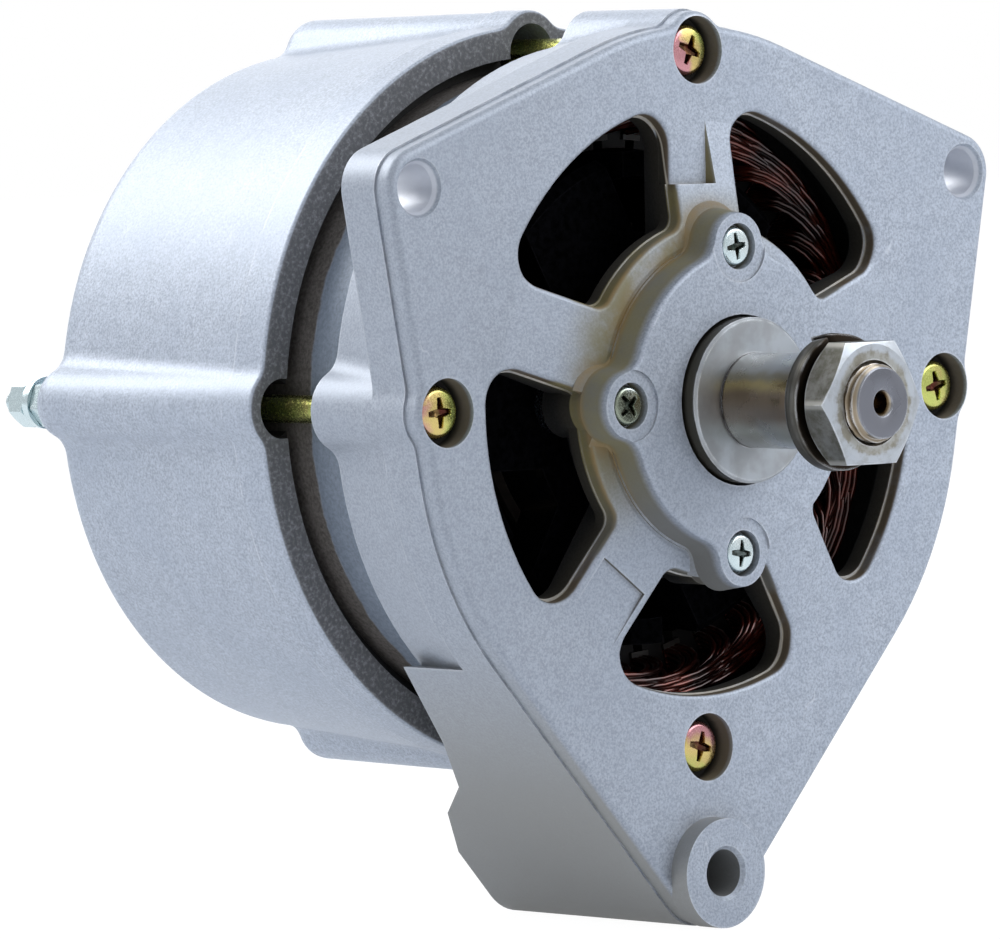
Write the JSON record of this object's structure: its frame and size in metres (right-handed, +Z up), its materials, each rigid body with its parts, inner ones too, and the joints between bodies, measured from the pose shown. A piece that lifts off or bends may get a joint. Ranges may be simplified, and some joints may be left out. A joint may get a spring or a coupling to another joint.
{
  "type": "claw-pole alternator",
  "caption": "Belt-driven claw-pole generator with a spoked cast front housing, pivot ear, adjuster lugs, ball-bearing rotor, brushes and rectifier.",
  "frame": {"origin": "on the shaft axis at the shoulder that the pulley seats against", "axes": "-Y out along the shaft's threaded nose, +Z up with the pivot ear below, +X to the right seen from the nose"},
  "size_m": [0.1516, 0.1688, 0.1652],
  "materials": {
    "cast_alloy": "bead-blasted die casting",
    "turned_steel": "turned, light oil film",
    "bearing_steel": "ground and polished",
    "zinc_white": "bright zinc",
    "zinc_yellow": "yellow passivated zinc",
    "black_steel": "dark oxide",
    "laminations": "varnished sheet steel",
    "forged_steel": "forged, dark",
    "enamelled_copper": "varnished enamelled copper wire",
    "copper": "plain copper",
    "insulation": "moulded insulation",
    "seal_rubber": "moulded rubber",
    "carbon": "pressed carbon",
    "sheet_alloy": "plain sheet"
  },
  "bodies": {
    "root": {"front_housing": "cast_alloy", "rear_housing": "cast_alloy", "stator_core": "laminations", "stator_winding": "enamelled_copper", "slot_wedges": "insulation", "through_bolts": "zinc_yellow", "bearing_retainer": "zinc_white", "retainer_screws": "zinc_white", "front_bearing_outer_ring": "bearing_steel", "rear_bearing_outer_ring": "bearing_steel", "front_bearing_seals": "seal_rubber", "rear_bearing_seals": "seal_rubber", "front_brush_spring": "zinc_white", "rear_brush_spring": "zinc_white", "brush_holder": "insulation", "regulator": "insulation", "regulator_screws": "zinc_white", "positive_heat_sink": "sheet_alloy", "negative_heat_sink": "sheet_alloy", "positive_diodes": "bearing_steel", "negative_diodes": "bearing_steel", "exciter_diode_board": "insulation", "rectifier_posts": "insulation", "rectifier_bolts": "zinc_white", "phase_leads": "enamelled_copper", "output_stud": "zinc_white", "output_stud_bush": "insulation", "output_stud_nuts": "zinc_white", "ground_stud": "zinc_white", "ground_nuts": "zinc_white", "ground_washers": "zinc_white"},
    "rotor": {"rotor_shaft": "turned_steel", "shaft_collar": "turned_steel", "front_claw_pole": "forged_steel", "rear_claw_pole": "forged_steel", "coil_bobbin": "insulation", "field_coil": "enamelled_copper", "slip_ring_sleeve": "insulation", "slip_rings": "copper", "field_leads": "enamelled_copper", "front_bearing_inner_ring": "bearing_steel", "rear_bearing_inner_ring": "bearing_steel"},
    "front_ball_set": {"front_bearing_balls": "bearing_steel", "front_bearing_cage": "insulation"},
    "rear_ball_set": {"rear_bearing_balls": "bearing_steel", "rear_bearing_cage": "insulation"},
    "front_brush_body": {"front_brush": "carbon"},
    "rear_brush_body": {"rear_brush": "carbon"},
    "nut_set": {"pulley_nut": "turned_steel", "lock_washer": "black_steel"}
  },
  "joints": [
    {"name": "rotor_spin", "type": "hinge", "parent": "root", "child": "rotor", "pos_m": [0, 0, 0], "axis": [0, 1, 0], "continuous": true},
    {"name": "front_ball_orbit", "type": "hinge", "parent": "root", "child": "front_ball_set", "pos_m": [0, 0.013, 0], "axis": [0, 1, 0], "continuous": true},
    {"name": "rear_ball_orbit", "type": "hinge", "parent": "root", "child": "rear_ball_set", "pos_m": [0, 0.107, 0], "axis": [0, 1, 0], "continuous": true},
    {"name": "front_brush_slide", "type": "slide", "parent": "root", "child": "front_brush_body", "axis": [0, 0, 1], "range_m": [0, 0.006], "stiffness_N_per_m": 150, "springref_m": -0.012, "deforming": ["front_brush_spring"]},
    {"name": "rear_brush_slide", "type": "slide", "parent": "root", "child": "rear_brush_body", "axis": [0, 0, 1], "range_m": [0, 0.006], "stiffness_N_per_m": 150, "springref_m": -0.012, "deforming": ["rear_brush_spring"]},
    {"name": "pulley_nut_slide", "type": "slide", "parent": "rotor", "child": "nut_set", "axis": [0, -1, 0], "range_m": [0, 0.06]}
  ],
  "couplings": [
    {"joint": "front_ball_orbit", "follows": "rotor_spin", "ratio": 0.36748},
    {"joint": "rear_ball_orbit", "follows": "rotor_spin", "ratio": 0.37886}
  ]
}
